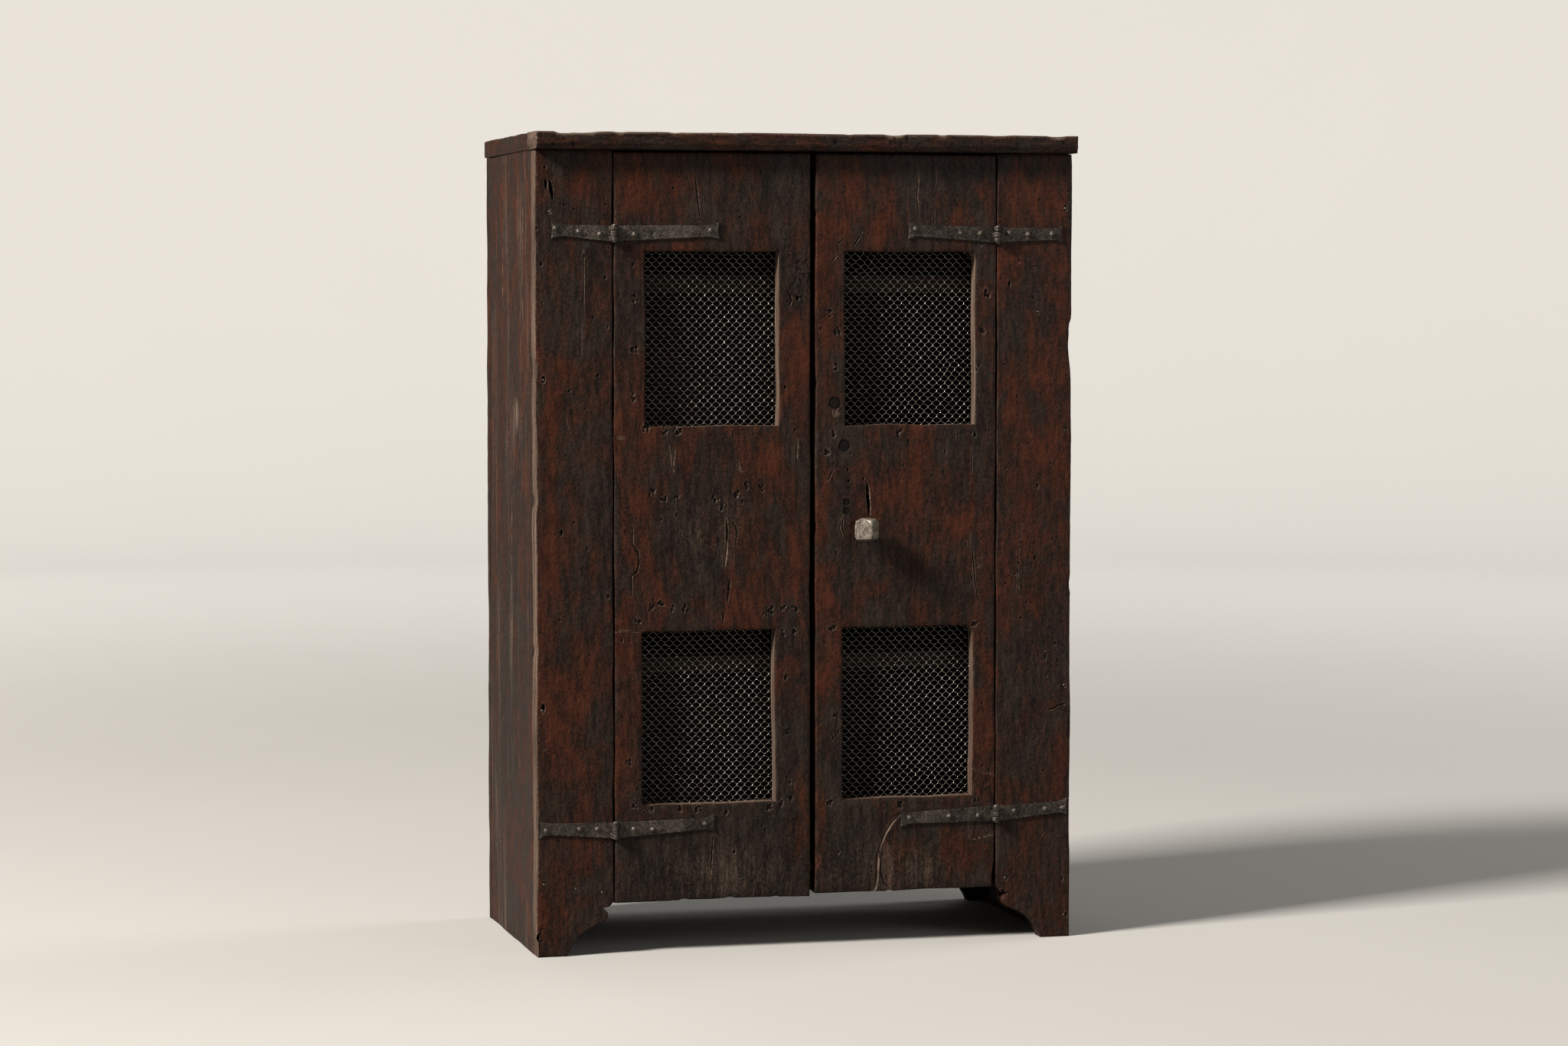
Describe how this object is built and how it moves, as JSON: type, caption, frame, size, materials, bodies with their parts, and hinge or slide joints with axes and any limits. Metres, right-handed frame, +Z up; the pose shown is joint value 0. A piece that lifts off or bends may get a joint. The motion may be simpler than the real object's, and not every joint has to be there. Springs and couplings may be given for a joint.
{
  "type": "pie safe",
  "caption": "Low country food cupboard on sawn bracket feet, with two plank doors whose windows are closed with wire netting, on forged strap hinges, and a turning knob.",
  "frame": {"origin": "on the floor, under the middle of the whole footprint, which runs from the knob's face to the top board's back edge", "axes": "+X to the right seen from the front, +Y from the doors to the back, +Z up"},
  "size_m": [0.86, 0.475, 1.262],
  "materials": {
    "old_paint": "old dark paint worn through to red-brown wood",
    "bare_wood": "bare aged softwood",
    "forged_iron": "hand forged, dark and dry",
    "netting_wire": "dull old galvanised wire",
    "worn_metal": "pale worn metal, facets rubbed bright"
  },
  "bodies": {
    "case": {"stile_left": "old_paint", "stile_right": "old_paint", "side_board_left": "old_paint", "side_board_right": "old_paint", "back_board_1": "old_paint", "back_board_2": "old_paint", "back_board_3": "old_paint", "back_board_4": "old_paint", "top_board": "old_paint", "top_nosing": "old_paint", "bottom_board": "old_paint", "shelf_lower": "bare_wood", "shelf_middle": "bare_wood", "shelf_upper": "bare_wood", "cleat_bottom_left": "bare_wood", "cleat_bottom_right": "bare_wood", "cleat_lower_left": "bare_wood", "cleat_lower_right": "bare_wood", "cleat_middle_left": "bare_wood", "cleat_middle_right": "bare_wood", "cleat_upper_left": "bare_wood", "cleat_upper_right": "bare_wood", "hinge_left_upper_stile_leaf": "forged_iron", "hinge_left_upper_pin": "forged_iron", "hinge_left_lower_stile_leaf": "forged_iron", "hinge_left_lower_pin": "forged_iron", "hinge_right_upper_stile_leaf": "forged_iron", "hinge_right_upper_pin": "forged_iron", "hinge_right_lower_stile_leaf": "forged_iron", "hinge_right_lower_pin": "forged_iron"},
    "left_door": {"door_left_board": "old_paint", "door_left_batten_upper": "bare_wood", "door_left_batten_lower": "bare_wood", "netting_left_upper": "netting_wire", "netting_left_lower": "netting_wire", "hinge_left_upper_door_leaf": "forged_iron", "hinge_left_lower_door_leaf": "forged_iron"},
    "right_door": {"door_right_board": "old_paint", "door_right_batten_upper": "bare_wood", "door_right_batten_lower": "bare_wood", "netting_right_upper": "netting_wire", "netting_right_lower": "netting_wire", "hinge_right_upper_door_leaf": "forged_iron", "hinge_right_lower_door_leaf": "forged_iron"},
    "knob_latch": {"knob": "worn_metal", "knob_spindle": "forged_iron", "latch_bar": "bare_wood", "latch_washer": "forged_iron", "latch_cross_pin": "forged_iron"}
  },
  "joints": [
    {"name": "left_door_hinge", "type": "hinge", "parent": "case", "child": "left_door", "pos_m": [-0.306, -0.1973, 0.65], "axis": [0, 0, -1], "range_deg": [0, 170]},
    {"name": "right_door_hinge", "type": "hinge", "parent": "case", "child": "right_door", "pos_m": [0.3045, -0.1973, 0.65], "axis": [0, 0, 1], "range_deg": [0, 170]},
    {"name": "knob_turn", "type": "hinge", "parent": "right_door", "child": "knob_latch", "pos_m": [0.087, -0.1905, 0.652], "axis": [0, 1, 0], "range_deg": [0, 90]}
  ]
}
